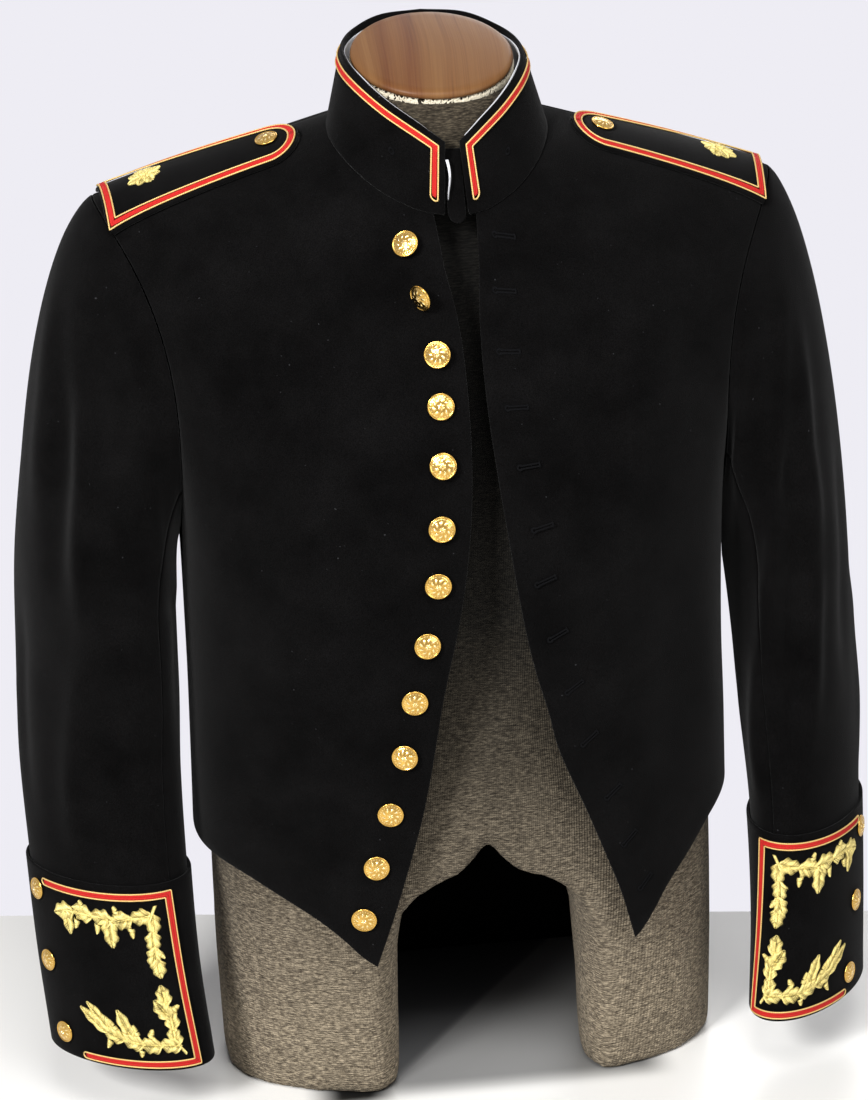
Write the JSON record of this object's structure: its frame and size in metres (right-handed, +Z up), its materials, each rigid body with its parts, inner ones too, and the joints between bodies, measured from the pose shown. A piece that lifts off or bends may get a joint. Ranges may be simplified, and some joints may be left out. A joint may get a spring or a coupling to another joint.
{
  "type": "dress uniform jacket on a dress form",
  "caption": "Waist-length black dress uniform jacket with stand collar, shoulder straps and embroidered cuffs, standing open on a headless, armless dress form.",
  "frame": {"origin": "centre of the box round the whole part, at its base, where the dress form's two stumps stand on the surface", "axes": "+Z up, +Y to the wearer's back, +X to the wearer's left; the open front faces -Y"},
  "size_m": [0.5762, 0.2435, 0.7136],
  "materials": {
    "wool_black": "matte wool broadcloth with a soft nap",
    "braid_scarlet": "scarlet flat braid edged with gold cord",
    "bullion_gold": "satin stitched gold bullion",
    "button_gold": "bright gilt, domed with a raised rim",
    "liner_white": "white cotton",
    "knit_jersey": "heathered ribbed jersey",
    "cap_wood": "satin reddish brown wood"
  },
  "bodies": {
    "root": {"back_left": "wool_black", "back_right": "wool_black", "collar": "wool_black", "collar_braid": "braid_scarlet", "collar_liner": "liner_white", "collar_tab": "wool_black", "cuff_braid_left": "braid_scarlet", "cuff_braid_right": "braid_scarlet", "cuff_button_left_1": "button_gold", "cuff_button_left_2": "button_gold", "cuff_button_left_3": "button_gold", "cuff_button_right_1": "button_gold", "cuff_button_right_2": "button_gold", "cuff_button_right_3": "button_gold", "cuff_leaves_lower_left": "bullion_gold", "cuff_leaves_lower_right": "bullion_gold", "cuff_leaves_upper_left": "bullion_gold", "cuff_leaves_upper_right": "bullion_gold", "cuff_left": "wool_black", "cuff_right": "wool_black", "front_button_1": "button_gold", "front_button_10": "button_gold", "front_button_11": "button_gold", "front_button_12": "button_gold", "front_button_13": "button_gold", "front_button_2": "button_gold", "front_button_3": "button_gold", "front_button_4": "button_gold", "front_button_5": "button_gold", "front_button_6": "button_gold", "front_button_7": "button_gold", "front_button_8": "button_gold", "front_button_9": "button_gold", "front_left": "wool_black", "front_right": "wool_black", "neck_cap": "cap_wood", "side_left": "wool_black", "side_right": "wool_black", "sleeve_top_left": "wool_black", "sleeve_top_right": "wool_black", "sleeve_under_left": "wool_black", "sleeve_under_right": "wool_black", "strap_braid_left": "braid_scarlet", "strap_braid_right": "braid_scarlet", "strap_button_left": "button_gold", "strap_button_right": "button_gold", "strap_leaf_left": "bullion_gold", "strap_leaf_right": "bullion_gold", "strap_left": "wool_black", "strap_right": "wool_black", "torso_form": "knit_jersey"}
  },
  "joints": []
}
